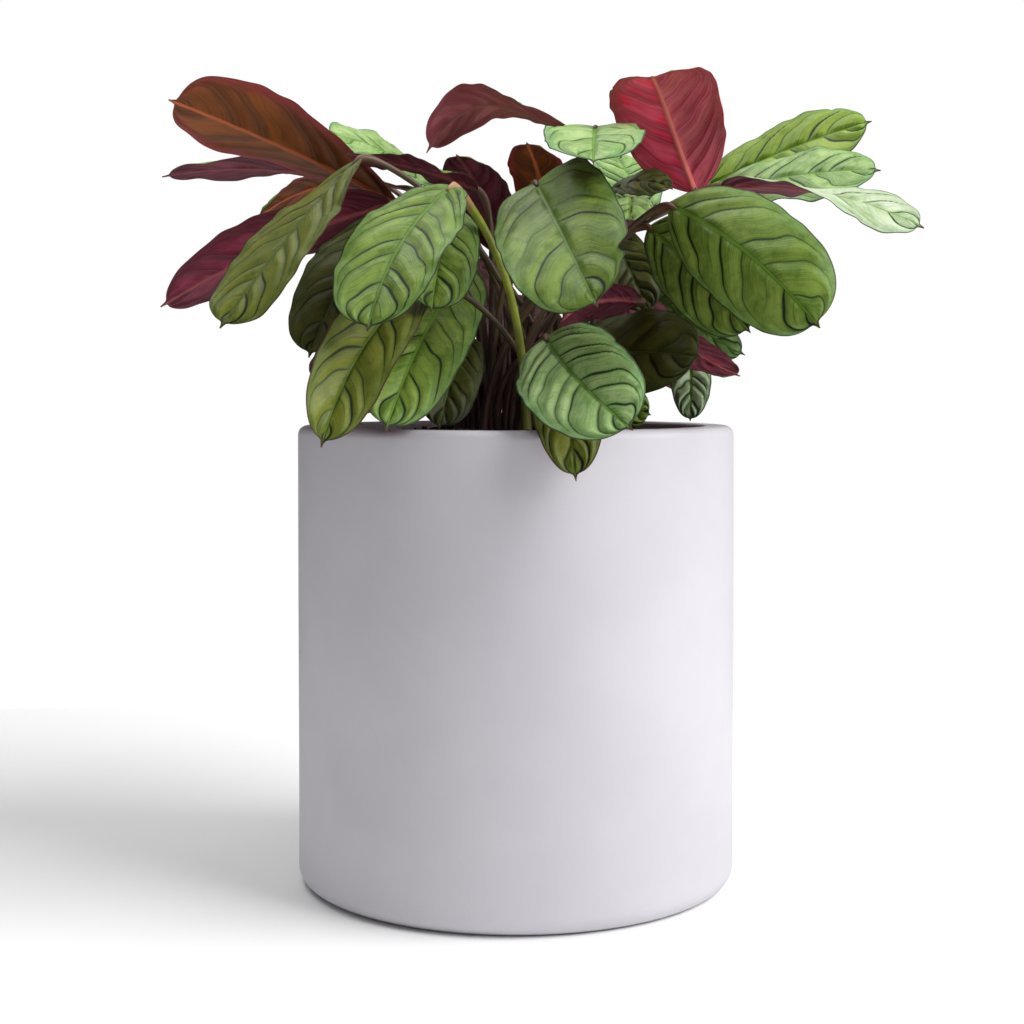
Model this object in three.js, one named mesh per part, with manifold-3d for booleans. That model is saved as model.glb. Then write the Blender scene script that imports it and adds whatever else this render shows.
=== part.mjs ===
// A potted prayer plant: a straight round pot, its soil, and the leaves, each grown on a stem of its own.
// Millimetres, +Z up, the viewer on the -Y side. The origin is the middle of the pot's foot.

import * as THREE from 'three';
import { mergeVertices } from 'three/addons/utils/BufferGeometryUtils.js';
import Module from 'manifold-3d';

const wasm = await Module();
wasm.setup();

// The pot: a plain cylinder with a rounded foot and a softly rounded rim.
const POT_RADIUS = 100;
const POT_HEIGHT = 207.5;
const POT_WALL = 14;
const POT_FLOOR = 14;
const FOOT_ROUND = 8;
const RIM_OUTER_ROUND = 4;
const RIM_INNER_ROUND = 2;
const INNER_ROUND = 5;
const POT_SEGMENTS = 45;

// The soil lies inside the pot with a small gap all round.
const SOIL_TOP = 202;
const SOIL_CHAMFER = 7;
const SEAT_GAP = 0.3;

// The stems leave the soil on the spots of a sunflower spiral.
const SPOT_STEP = 4.3;
const SPOT_TURN = THREE.MathUtils.degToRad(137.50776);
const STEM_RADIUS = 1.5;
const STEM_SIDES = 5;
const STEM_STEPS = 6;
const STEM_DEPTH = 10;
const STEM_STRAIGHT = 2;
const STEM_RISE = 0.55;
const STEM_KNEE = 12;
const STEM_UNDER_BLADE = 3;
const HOLE_RADIUS = 2.4;
const HOLE_SIDES = 5;

// The blade: rows along the midrib, from the stem (0) to the tip (1), and columns across it.
const BLADE_THICKNESS = 0.8;
const BLADE_ROWS = [0, 0.08, 0.24, 0.42, 0.6, 0.77, 0.91, 0.965, 1];
const BLADE_COLUMNS = [-1, -0.5, 0, 0.5, 1];
const BODY_END = 0.97;
const BASE_SHARE = 0.06;

// What a leaf has where LEAVES says nothing else: the width, where it is widest (belly), how far the midrib
// bows out of its chord (arch, sway), the turn of the face about the chord (roll) and along it (twist), the
// angle (fold) and bend (curl) of the two halves, how far each half's edge lies ahead of the midrib [near the
// base, near the tip] (ahead), the wave of the edge [height, count, phase], and the way the stem leans as it
// leaves the soil. A knee says how the stem's last bend lies from the base, where it doesn't carry on the
// midrib.
const PLAIN_LEAF = {
  width: 46,
  belly: 1.15,
  arch: [8, 8],
  sway: 0,
  roll: 0,
  twist: 0,
  fold: [10, 10],
  curl: [-20, -20],
  ahead: [[0, 0], [0, 0]],
  wave: [1.2, 2, 0],
  lean: [0, 0],
};

// base: where stem and blade meet. tip: the end of the midrib. spot: the place of the stem in the soil.
const LEAVES = {
  // The far left: two leaves seen from below, three that hang, and short ones between them.
  left_01: { tone: 'maroon', base: [-55, 25, 311], tip: [-157, -15, 355], width: 49, belly: 1.85,
    arch: [4, 3], roll: 28, twist: 30, fold: [15, 15], curl: [0, 0], spot: 17 },
  left_02: { tone: 'maroon', base: [-55, 66, 324], tip: [-172, 44, 327], width: 36, belly: 1.6,
    arch: [5, 11], roll: 4, twist: 20, fold: [0, 0], curl: [0, 0], spot: 6 },
  left_03: { tone: 'silver', base: [-69, -38, 325], tip: [-124, -75, 250], width: 46, belly: 1.1,
    arch: [4, 2], roll: -1, twist: -30, fold: [-8, 11], curl: [0, 0], lean: [12, 16], spot: 10 },
  left_04: { tone: 'silver', base: [-40, 68, 326], tip: [-89, 22, 345], width: 40,
    arch: [5, 5], roll: -38, fold: [4, 4], curl: [-10, -10], spot: 43 },
  left_05: { tone: 'maroon', base: [-18, 8, 317], tip: [-76, -19, 330], width: 28,
    arch: [3, 3], roll: 4, fold: [0, 0], curl: [0, 0], wave: [1.6, 2, 0], lean: [0, 4], spot: 9 },
  left_06: { tone: 'maroon', base: [-77, 112, 333], tip: [-133, 90, 311], width: 36,
    roll: 20, lean: [0, -5], spot: 35 },
  left_07: { tone: 'maroon', base: [-58, 5, 310], tip: [-159, -25, 261], width: 42,
    arch: [7, 7], roll: 38, fold: [8, 8], curl: [0, 0], spot: 21 },
  left_08: { tone: 'dark', base: [-59, -8, 304], tip: [-90, -48, 238], width: 42,
    roll: -22, fold: [30, 0], curl: [-10, -10], spot: 51 },

  // The front: broad leaves that face the viewer, the lowest over the rim.
  front_01: { tone: 'silver', base: [-27, -42, 313], tip: [-60, -100, 248], width: 48, belly: 1.2,
    roll: -9, sway: 5, curl: [-10, -10], knee: [16, 4, -18], spot: 57 },
  front_02: { tone: 'silver', base: [9, -35, 315], tip: [32, -122, 257], width: 56,
    roll: 29, fold: [15, 2], curl: [-5, -10], ahead: [[-14, 0], [-12, 4]], wave: [2, 1.5, 0], spot: 20 },
  front_03: { tone: 'silver', base: [-30, -24, 306], tip: [-36, -66, 257], width: 35,
    roll: -11, fold: [5, 22], curl: [-20, 0], spot: 3 },
  front_04: { tone: 'silver', base: [-22, 12, 281], tip: [-53, -98, 207], width: 42,
    arch: [2, 12], roll: -23, sway: 4, fold: [10, 5], curl: [-15, -15], spot: 22 },
  front_05: { tone: 'silver', base: [-40, -41, 271], tip: [-79, -99, 201], width: 36, belly: 1.25,
    roll: -37, sway: 8, fold: [20, 36], curl: [0, 0], lean: [-4, -8], spot: 31 },
  front_06: { tone: 'dark', base: [-24, -8, 249], tip: [-33, -60, 207], width: 27, roll: -16, spot: 25 },
  front_07: { tone: 'dark', base: [-27, -15, 225], tip: [-68, -46, 212], width: 30, roll: 20, spot: 46 },
  front_08: { tone: 'silver', base: [13, -62, 246], tip: [45, -134, 209], width: 46,
    arch: [10, 10], roll: 66, fold: [-8, 32], curl: [-25, -10], spot: 52 },
  front_09: { tone: 'silver', base: [20, -50, 228], tip: [24, -113, 188], width: 30,
    arch: [20, 23], roll: 7, fold: [8, 8], curl: [0, 0], spot: 36 },
  front_10: { tone: 'maroon', base: [55, -38, 263], tip: [19, -62, 253], width: 21,
    roll: 50, lean: [-12, 4], knee: [10, 8, 0], spot: 28 },

  // The top: one leaf towards the viewer and three that stand behind it.
  top_01: { tone: 'silver', base: [37, 5, 345], tip: [32, -85, 318], width: 45,
    arch: [4, 6], curl: [-10, -10], spot: 19 },
  top_02: { tone: 'maroon', base: [17, 42, 299], tip: [5, 2, 338], width: 28, arch: [6, 6], spot: 4 },
  top_03: { tone: 'maroon', base: [27, 28, 348], tip: [-44, 55, 340], width: 34, belly: 1.3,
    arch: [8, 44], roll: 20, twist: 20, fold: [5, 5], curl: [0, 0], lean: [16, -6], spot: 11 },
  top_04: { tone: 'maroon', base: [-8, 50, 290], tip: [-28, 14, 334], width: 32, spot: 1 },

  // The right: the tall red underside, three leaves that reach out, and those that hang below them.
  right_01: { tone: 'maroon', base: [87, 40, 319], tip: [60, -35, 362], width: 52,
    arch: [10, 16], roll: -4, sway: 6, fold: [30, -5], curl: [0, 0], lean: [12, 16], spot: 34 },
  right_02: { tone: 'silver', base: [60, 40, 308], tip: [49, 72, 341], width: 34, arch: [6, 6], spot: 8 },
  right_03: { tone: 'silver', base: [54, 6, 312], tip: [50, -36, 298], width: 23,
    arch: [4, 5], fold: [0, 0], spot: 12 },
  right_04: { tone: 'lime', base: [95, 78, 325], tip: [173, 44, 354], width: 42, belly: 1.25,
    arch: [4, 4], roll: 53, spot: 16 },
  right_05: { tone: 'silver', base: [89, 14, 314], tip: [165, -16, 323], width: 48, belly: 1.25,
    arch: [5, 5], roll: 35, lean: [-2, -6], spot: 15 },
  right_06: { tone: 'silver', base: [90, -40, 313], tip: [174, -62, 293], width: 44, belly: 1.3,
    roll: 10, twist: 60, fold: [0, 0], curl: [0, 0], lean: [8, 16], spot: 2 },
  right_07: { tone: 'silver', base: [66, -56, 303], tip: [121, -112, 249], width: 51, belly: 1.12,
    roll: 71, sway: -7, fold: [-8, -8], curl: [-25, -25], spot: 18 },
  right_08: { tone: 'silver', base: [59, -30, 296], tip: [98, -78, 248], width: 36,
    roll: 71, sway: -3, fold: [0, 0], lean: [2, 3], spot: 41 },
  right_09: { tone: 'dark', base: [23, -5, 237], tip: [79, -64, 238], width: 44, roll: 60, spot: 5 },
  right_10: { tone: 'silver', base: [83, 24, 242], tip: [81, 4, 209], width: 20, belly: 0.8,
    roll: -3, fold: [20, 20], spot: 47 },
  right_11: { tone: 'maroon', base: [49, 12, 273], tip: [101, -20, 230], width: 28, roll: -159, spot: 7 },
  right_12: { tone: 'silver', base: [56, 44, 284], tip: [108, 16, 240], width: 24,
    roll: 112, lean: [4, 12], spot: 42 },
  right_13: { tone: 'dark', base: [45, 24, 297], tip: [61, -10, 259], width: 26, roll: 34, spot: 50 },
  right_14: { tone: 'lime', base: [31, -26, 222], tip: [59, -46, 213], width: 22, roll: 79, spot: 39 },
  right_15: { tone: 'dark', base: [43, 30, 315], tip: [73, 6, 317], width: 24, roll: 34, spot: 29 },

  // A short one among the stems.
  inner_01: { tone: 'maroon', base: [3, 65, 211], tip: [2, 46, 252], width: 36, roll: 14, spot: 58 },

  // The back, in three tiers.
  back_01: { tone: 'silver', base: [28, 62, 315], tip: [47, 138, 297], width: 48,
    arch: [8, 10], lean: [-4, 20], spot: 32 },
  back_02: { tone: 'silver', base: [-16, 72, 289], tip: [-35, 144, 250], arch: [8, 10], roll: 10, spot: 40 },
  back_03: { tone: 'silver', base: [26, 46, 286], tip: [67, 118, 247], arch: [8, 10], roll: -10, spot: 37 },
  back_04: { tone: 'lime', base: [-24, 70, 307], tip: [-51, 146, 293], width: 44,
    arch: [8, 10], roll: 10, lean: [-8, 4], spot: 14 },
  back_05: { tone: 'silver', base: [40, 46, 270], tip: [91, 98, 236], width: 42, arch: [8, 10], spot: 45 },
  back_06: { tone: 'dark', base: [-38, 26, 279], tip: [-100, 88, 244], width: 44, arch: [8, 10], spot: 30 },
  back_07: { tone: 'silver', base: [2, 48, 268], tip: [4, 134, 225], arch: [8, 12], spot: 27 },
  back_08: { tone: 'dark', base: [22, 44, 257], tip: [61, 120, 221], width: 40, arch: [8, 12], spot: 24 },
  back_09: { tone: 'dark', base: [-22, 44, 257], tip: [-59, 118, 223], width: 40, arch: [8, 12], spot: 48 },
  back_10: { tone: 'dark', base: [-42, 12, 263], tip: [-99, 52, 229], width: 36, spot: 38 },
  back_11: { tone: 'dark', base: [42, 24, 253], tip: [85, 66, 221], width: 34, spot: 26 },
};

const TONES = {
  silver: 0x8fb07a,
  lime: 0xa9b95c,
  dark: 0x48572f,
  maroon: 0x6e2d3b,
};

const rad = THREE.MathUtils.degToRad;

// Closed geometry to solid and back, for joining and cutting.
function solidOf(geometry) {
  const bare = new THREE.BufferGeometry();
  bare.setAttribute('position', geometry.getAttribute('position'));
  bare.setIndex(geometry.getIndex());
  const merged = mergeVertices(bare, 1e-4);
  const index = merged.getIndex().array;
  const triangles = [];
  for (let k = 0; k < index.length; k += 3) {
    const [a, b, c] = [index[k], index[k + 1], index[k + 2]];
    if (a !== b && b !== c && c !== a) {
      triangles.push(a, b, c);
    }
  }
  return new wasm.Manifold(new wasm.Mesh({
    numProp: 3,
    vertProperties: new Float32Array(merged.getAttribute('position').array),
    triVerts: new Uint32Array(triangles),
  }));
}

function geometryOf(solid) {
  const mesh = solid.getMesh();
  const geometry = new THREE.BufferGeometry();
  geometry.setAttribute('position', new THREE.BufferAttribute(mesh.vertProperties, 3));
  geometry.setIndex(new THREE.BufferAttribute(mesh.triVerts, 1));
  geometry.computeVertexNormals();
  return geometry;
}

// An arc between two directions, as points of a profile.
function roundCorner(cx, cy, radius, from, to, steps) {
  const points = [];
  for (let k = 0; k <= steps; k += 1) {
    const angle = rad(from + (to - from) * k / steps);
    points.push(new THREE.Vector2(cx + radius * Math.cos(angle), cy + radius * Math.sin(angle)));
  }
  return points;
}

// A profile of (radius, height) turned about the Z axis.
function turned(profile) {
  const geometry = new THREE.LatheGeometry(profile, POT_SEGMENTS);
  geometry.rotateX(Math.PI / 2);
  return solidOf(geometry);
}

function potGeometry() {
  const inner = POT_RADIUS - POT_WALL;
  const profile = [
    new THREE.Vector2(0, 0),
    ...roundCorner(POT_RADIUS - FOOT_ROUND, FOOT_ROUND, FOOT_ROUND, -90, 0, 4),
    ...roundCorner(POT_RADIUS - RIM_OUTER_ROUND, POT_HEIGHT - RIM_OUTER_ROUND, RIM_OUTER_ROUND, 0, 90, 3),
    ...roundCorner(inner + RIM_INNER_ROUND, POT_HEIGHT - RIM_INNER_ROUND, RIM_INNER_ROUND, 90, 180, 2),
    ...roundCorner(inner - INNER_ROUND, POT_FLOOR + INNER_ROUND, INNER_ROUND, 0, -90, 2),
    new THREE.Vector2(0, POT_FLOOR),
  ];
  return geometryOf(turned(profile));
}

function spotOf(leaf) {
  const reach = SPOT_STEP * Math.sqrt(leaf.spot);
  const angle = leaf.spot * SPOT_TURN;
  return new THREE.Vector3(reach * Math.cos(angle), reach * Math.sin(angle), SOIL_TOP);
}

function stemHole(leaf) {
  const depth = STEM_DEPTH + SEAT_GAP + 1;
  const hole = new THREE.CylinderGeometry(HOLE_RADIUS, HOLE_RADIUS, depth, HOLE_SIDES);
  hole.rotateX(Math.PI / 2);
  const spot = spotOf(leaf);
  hole.translate(spot.x, spot.y, SOIL_TOP + 1 - depth / 2);
  return solidOf(hole);
}

function soilGeometry(leaves) {
  const edge = POT_RADIUS - POT_WALL - SEAT_GAP;
  const bottom = POT_FLOOR + SEAT_GAP;
  let soil = turned([
    new THREE.Vector2(0, bottom),
    new THREE.Vector2(edge - SOIL_CHAMFER, bottom),
    new THREE.Vector2(edge, bottom + SOIL_CHAMFER),
    new THREE.Vector2(edge, SOIL_TOP),
    new THREE.Vector2(0, SOIL_TOP),
  ]);
  for (const leaf of leaves) {
    soil = soil.subtract(stemHole(leaf));
  }
  return geometryOf(soil);
}

// The midrib, and the way the blade faces about it.
function midribOf(leaf) {
  const base = new THREE.Vector3(...leaf.base);
  const tip = new THREE.Vector3(...leaf.tip);
  const chord = tip.clone().sub(base);
  const along = chord.clone().normalize();
  const face = new THREE.Vector3(0, 0, 1).projectOnPlane(along).normalize();
  face.applyAxisAngle(along, rad(leaf.roll));
  const side = new THREE.Vector3().crossVectors(along, face);
  const bowed = (share, rise) => {
    const point = base.clone().addScaledVector(chord, share);
    return point.addScaledVector(face, rise).addScaledVector(side, leaf.sway);
  };
  const first = bowed(1 / 3, leaf.arch[0]);
  const second = bowed(2 / 3, leaf.arch[1]);
  return { curve: new THREE.CubicBezierCurve3(base, first, second, tip), along, face };
}

// Half width as a share of the greatest: an oval with a blunt end and a small point.
function outline(s, belly) {
  const u = Math.min(s / BODY_END, 1);
  const body = (1 - Math.abs(2 * u ** belly - 1) ** 2.6) ** (1 / 2.2);
  const point = 0.012 + 0.09 * Math.min((1 - s) / 0.04, 1) ** 1.5;
  return Math.max(s < BODY_END ? body : 0, s > 0.5 ? point : BASE_SHARE);
}

// The blade's middle surface at (s, q) and its normal there.
function bladePoint(leaf, midrib, s, q) {
  const middle = midrib.curve.getPoint(s);
  const along = midrib.curve.getTangent(s);
  const lift = midrib.face.clone().applyAxisAngle(midrib.along, rad(leaf.twist) * (s - 0.5));
  const across = new THREE.Vector3().crossVectors(along, lift).normalize();
  const normal = new THREE.Vector3().crossVectors(across, along);
  const hand = q < 0 ? -1 : 1;
  const half = q < 0 ? 0 : 1;
  const width = outline(s, leaf.belly) * leaf.width / 2;
  const edge = Math.abs(q);
  const fold = rad(leaf.fold[half]);
  const curl = rad(leaf.curl[half]);
  const slope = edge > 0 ? fold + curl * edge : 0;
  let out = width * edge * Math.cos(fold);
  let rise = width * edge * Math.sin(fold);
  if (curl !== 0) {
    out = width / curl * (Math.sin(fold + curl * edge) - Math.sin(fold));
    rise = width / curl * (Math.cos(fold) - Math.cos(fold + curl * edge));
  }
  const [height, count, phase] = leaf.wave;
  const turn = 2 * Math.PI * count * s + phase + (half === 0 ? 0 : 1.9);
  const share = Math.min(2 * width / leaf.width, 1);
  const lead = THREE.MathUtils.lerp(...leaf.ahead[half], s);
  rise += height * edge * edge * Math.sin(turn) * share;
  const point = middle.addScaledVector(across, out * hand).addScaledVector(normal, rise);
  point.addScaledVector(along, lead * edge * share);
  const facing = normal.clone().multiplyScalar(Math.cos(slope));
  facing.addScaledVector(across, -hand * Math.sin(slope));
  return { point, facing };
}

// Two alike faces, half the thickness to each side of the middle surface, and the edge between them.
function bladeSolid(leaf, midrib) {
  const rows = BLADE_ROWS.length;
  const columns = BLADE_COLUMNS.length;
  const positions = [];
  for (const offset of [BLADE_THICKNESS / 2, -BLADE_THICKNESS / 2]) {
    for (const s of BLADE_ROWS) {
      for (const q of BLADE_COLUMNS) {
        const { point, facing } = bladePoint(leaf, midrib, s, q);
        positions.push(...point.addScaledVector(facing, offset).toArray());
      }
    }
  }
  const upper = (i, j) => i * columns + j;
  const lower = (i, j) => (rows + i) * columns + j;
  const index = [];
  const wall = (i, j, k, l) => {
    index.push(upper(i, j), upper(k, l), lower(k, l));
    index.push(upper(i, j), lower(k, l), lower(i, j));
  };
  for (let i = 0; i < rows - 1; i += 1) {
    for (let j = 0; j < columns - 1; j += 1) {
      index.push(upper(i, j), upper(i, j + 1), upper(i + 1, j + 1));
      index.push(upper(i, j), upper(i + 1, j + 1), upper(i + 1, j));
      index.push(lower(i, j), lower(i + 1, j + 1), lower(i, j + 1));
      index.push(lower(i, j), lower(i + 1, j), lower(i + 1, j + 1));
    }
    wall(i, 0, i + 1, 0);
    wall(i + 1, columns - 1, i, columns - 1);
  }
  for (let j = 0; j < columns - 1; j += 1) {
    wall(0, j + 1, 0, j);
    wall(rows - 1, j, rows - 1, j + 1);
  }
  const geometry = new THREE.BufferGeometry();
  geometry.setAttribute('position', new THREE.Float32BufferAttribute(positions, 3));
  geometry.setIndex(index);
  return solidOf(geometry);
}

// The stem's centre line: straight out of the soil, up and over, and a little way along under the midrib.
class StemPath extends THREE.Curve {
  constructor(leaf, midrib) {
    super();
    const out = spotOf(leaf);
    this.foot = out.clone().setZ(SOIL_TOP - STEM_DEPTH);
    out.z += STEM_STRAIGHT;
    const [base, first] = [midrib.curve.v0, midrib.curve.v1];
    const entry = first.clone().sub(base).normalize();
    const rise = STEM_RISE * base.distanceTo(out);
    const above = out.clone().add(new THREE.Vector3(...leaf.lean, rise));
    const bend = leaf.knee ? new THREE.Vector3(...leaf.knee) : entry.clone().multiplyScalar(-STEM_KNEE);
    const knee = base.clone().add(bend);
    this.arc = new THREE.CubicBezierCurve3(out, above, knee, base);
    this.end = midrib.curve.getPoint(STEM_UNDER_BLADE / midrib.curve.getLength());
  }

  getPoint(t, target = new THREE.Vector3()) {
    const step = t * STEM_STEPS;
    if (step < 1) {
      return target.lerpVectors(this.foot, this.arc.v0, step);
    }
    if (step > STEM_STEPS - 1) {
      return target.lerpVectors(this.arc.v3, this.end, step - STEM_STEPS + 1);
    }
    const share = (step - 1) / (STEM_STEPS - 2);
    return this.arc.getPoint(1 - (1 - share) ** 1.25, target);
  }

  getUtoTmapping(u) {
    return u;
  }
}

function stemSolid(leaf, midrib) {
  const round = roundCorner(0, 0, STEM_RADIUS, 0, 360, STEM_SIDES);
  const section = new THREE.Shape(round.slice(1));
  const extrudePath = new StemPath(leaf, midrib);
  return solidOf(new THREE.ExtrudeGeometry(section, { steps: STEM_STEPS, extrudePath }));
}

function leafGeometry(leaf) {
  const midrib = midribOf(leaf);
  return geometryOf(bladeSolid(leaf, midrib).add(stemSolid(leaf, midrib)));
}

function meshOf(name, geometry, color, roughness) {
  const material = new THREE.MeshStandardMaterial({ color, roughness, metalness: 0 });
  const mesh = new THREE.Mesh(geometry, material);
  mesh.name = name;
  return mesh;
}

const leaves = Object.entries(LEAVES).map(([name, leaf]) => ({ name, ...PLAIN_LEAF, ...leaf }));
const plant = new THREE.Group();
plant.add(meshOf('pot', potGeometry(), 0xd9d7dd, 0.6));
plant.add(meshOf('soil', soilGeometry(leaves), 0x2c2119, 0.95));
for (const leaf of leaves) {
  plant.add(meshOf(leaf.name, leafGeometry(leaf), TONES[leaf.tone], 0.45));
}

export default plant;
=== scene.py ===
"""A potted prayer plant in Blender: fine leaves with their veins, soil and a smooth pot, over the CAD frame.

The Blender objects are in metres. Leaves, stems, soil and pot are worked out in millimetres first.
"""

import math
from itertools import combinations

import bpy
import numpy as np
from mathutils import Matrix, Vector


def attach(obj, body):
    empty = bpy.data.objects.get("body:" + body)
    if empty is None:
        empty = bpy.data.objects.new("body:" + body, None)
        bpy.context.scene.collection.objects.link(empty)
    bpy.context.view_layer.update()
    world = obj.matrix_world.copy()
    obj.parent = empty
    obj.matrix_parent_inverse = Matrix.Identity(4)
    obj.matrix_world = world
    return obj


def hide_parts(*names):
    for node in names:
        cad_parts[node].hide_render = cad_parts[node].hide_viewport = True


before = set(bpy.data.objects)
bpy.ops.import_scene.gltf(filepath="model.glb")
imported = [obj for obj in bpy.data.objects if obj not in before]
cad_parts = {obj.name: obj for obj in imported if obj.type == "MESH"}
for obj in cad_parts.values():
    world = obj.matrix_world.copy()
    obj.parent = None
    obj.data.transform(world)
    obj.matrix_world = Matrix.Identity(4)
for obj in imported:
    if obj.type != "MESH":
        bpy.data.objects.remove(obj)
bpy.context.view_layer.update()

MM = 0.001
IMAGE_SIZE = 1024
SEED = 11

# The pot, as in the CAD model.
POT_RADIUS = 100.0
POT_HEIGHT = 207.5
POT_WALL = 14.0
POT_FLOOR = 14.0
FOOT_ROUND = 8.0
RIM_OUTER_ROUND = 4.0
RIM_INNER_ROUND = 2.0
INNER_ROUND = 5.0
POT_TURNS = 192

# The soil and the spots where the stems leave it.
SOIL_TOP = 202.0
SEAT_GAP = 0.3
SPOT_STEP = 4.3
SPOT_TURN = math.radians(137.50776)
STEM_DEPTH = 10.0
STEM_STRAIGHT = 2.0
STEM_RISE = 0.55
STEM_KNEE = 12.0
STEM_UNDER_BLADE = 5.0

# The blade's outline, as in the CAD model: its oval body, its stub at the base and its small point.
BODY_END = 0.97
BODY_BLUNT = 2.6
BODY_FULL = 2.2
BASE_SHARE = 0.06
POINT_TIP = 0.012
POINT_FOOT = 0.09
POINT_LENGTH = 0.04
POINT_SHARP = 1.5
WAVE_SHIFT = 1.9

# The unevenness of a blade's edge: waves along it, each with its height, and the wavelets of its surface.
EDGE_WAVES = ((2.6, 0.012), (6.7, 0.008))
RIPPLES = ((3.1, 0.5), (5.3, 0.38), (8.7, 0.24))
RIPPLE_SHIFT = 0.37
EDGE_TURN = 2.4
EDGE_SHIFT = 1.7

# The fine relief of the blade: half its thickness, the valleys of the veins above and their ridges below.
BLADE_HALF = 0.24
VEIN_VALLEY = 0.85
VEIN_DEPTH = 0.32
VEIN_RIDGE = 0.16
PILLOW_RISE = 0.95
RIB_VALLEY = 1.0
CREASE_DEPTH = 0.3
RIB_WIDTH = 1.1
RIB_DEPTH = 0.9
VEIN_NARROW = 0.28
VEIN_WIDE = 0.66
RIB_TIP_DEPTH = 0.12
RIB_FADE = 0.7
EDGE_THINNING = 0.45
NEAR_GRID = (90, 20)
FAR_GRID = (60, 14)
POINT_ROWS = [0.9685, 0.974, 0.98, 0.987, 0.994, 1.0]

# Where the relief rises and falls: from the midrib, toward the edge, from the base and toward the tip.
FROM_RIB = (0.02, 0.12)
TO_EDGE = (0.72, 0.97)
FROM_BASE = (0, 0.08)
TO_TIP = (0.93, 0.97)

# How a vein runs along the blade as it crosses it (share, power), where the first one starts, how far the
# second half's veins lag, and how unevenly they are spaced and bent.
VEIN_SWEEP = ((0.15, 1), (0.1, 2), (0.2, 8))
FIRST_VEIN = 0.35
VEIN_LAG = 0.45
VEIN_UNEVEN = 0.2
VEIN_UNEVEN_LENGTH = 2.3
VEIN_BEND = 0.11
VEIN_BEND_COUNT = 1.6

# The stem: its half width, and how much more it has in the sheath at the soil and in the knee.
STEM_ROWS = 44
STEM_SIDES = 12
STEM_THIN = 1.4
STEM_SHEATH = 0.8
STEM_KNEE_SWELL = 0.5
KNEE_PLACE = 6
KNEE_LENGTH = 5.5
SHEATH_LENGTH = 14
STEM_UNEVEN = 0.03
STEM_UNEVEN_LENGTH = 3.1
STEM_END = [0.85, 0.65, 0.35]

# The cast wall of the pot, the relief of the soil (length, height), its heap round the stems and its dip.
CAST_DEPTH = 0.12
WALL_ROWS = 40
WELL_ROWS = 12
SOIL_WAVES = ((61, 0.8), (43, 0.7), (29, 0.6), (19, 0.5), (13, 0.4), (9, 0.32), (6.5, 0.26), (4.3, 0.2))
SOIL_TURNS = 200
SOIL_RINGS = 74
SOIL_HEAP = 3.2
HEAP_REACH = 42
SOIL_DIP = 1.6
SOIL_CHAMFER = 7

# The crumbs that lie on the soil, and the share of them that is bark.
CRUMBS = 620
BARK_SHARE = 0.16
CRUMB_SHAPE = [1.0, 0.75, 0.6]
BARK_SHAPE = [2.1, 0.9, 0.45]
CRUMB_SIZE = 0.7
CRUMB_SPREAD = 2.0
CRUMB_POWER = 2.2

# The camera: its place, the focal length and the optical axis in pixels of the picture.
CAMERA_PLACE = (0, -808.5, 228.6)
CAMERA_TILT = 1.0
FOCAL_PIXELS = 1749.2
AXIS_X = 515.76
AXIS_Y = 409.75
SENSOR_WIDTH = 36

# Each light: name, place in metres, size in metres, watts.
LIGHTS = [
    ("key", (1.52, -0.58, 1.5), 1.6, 55.0),
    ("above", (-0.5, 0.4, 2.1), 1.6, 27.0),
]
LIGHT_AIM = (0, 0, 0.22)
SURROUND = 0.13
FLOOR_SIZE = 1.5
FLOOR_BACK = 0.4
FLOOR_COLOUR = (250, 250, 250)

# What a leaf has where LEAVES says nothing else. The names mean the same as in the CAD model.
PLAIN_LEAF = dict(width=46, belly=1.15, arch=(8, 8), sway=0, roll=0, twist=0, fold=(10, 10),
                  curl=(-20, -20), ahead=((0, 0), (0, 0)), wave=(1.2, 2, 0), lean=(0, 0))

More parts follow.
